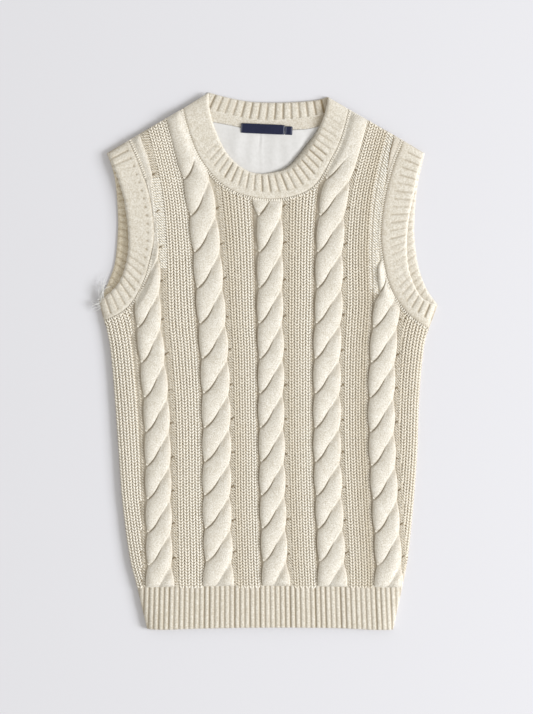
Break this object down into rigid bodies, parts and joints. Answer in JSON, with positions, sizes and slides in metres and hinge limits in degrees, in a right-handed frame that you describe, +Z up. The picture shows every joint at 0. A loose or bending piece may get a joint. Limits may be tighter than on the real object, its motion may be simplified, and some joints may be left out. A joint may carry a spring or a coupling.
{
  "type": "knitted sweater vest",
  "caption": "Sleeveless cable-knit vest laid flat, with a ribbed round neck, ribbed armholes and hem, a back neck lining and woven labels.",
  "frame": {"origin": "under the middle of the whole garment, on the surface that it lies on", "axes": "+X across the garment to the picture's right, +Y from the hem to the neck, +Z up out of the front, away from the surface"},
  "size_m": [0.38, 0.6026, 0.0127],
  "materials": {
    "knit": "cream felted wool-blend knit with cables",
    "rib_knit": "cream ribbed knit",
    "lining": "smooth white woven lining",
    "label": "navy woven tape, left bare"
  },
  "bodies": {
    "root": {"front_panel": "knit", "back_panel": "knit", "front_hem_rib": "rib_knit", "back_hem_rib": "rib_knit", "neckband_front": "rib_knit", "neckband_back": "rib_knit", "armband_left_front": "rib_knit", "armband_left_back": "rib_knit", "armband_right_front": "rib_knit", "armband_right_back": "rib_knit", "back_neck_facing": "knit", "back_lining": "lining", "neck_label": "label", "size_tab": "label"}
  },
  "joints": []
}
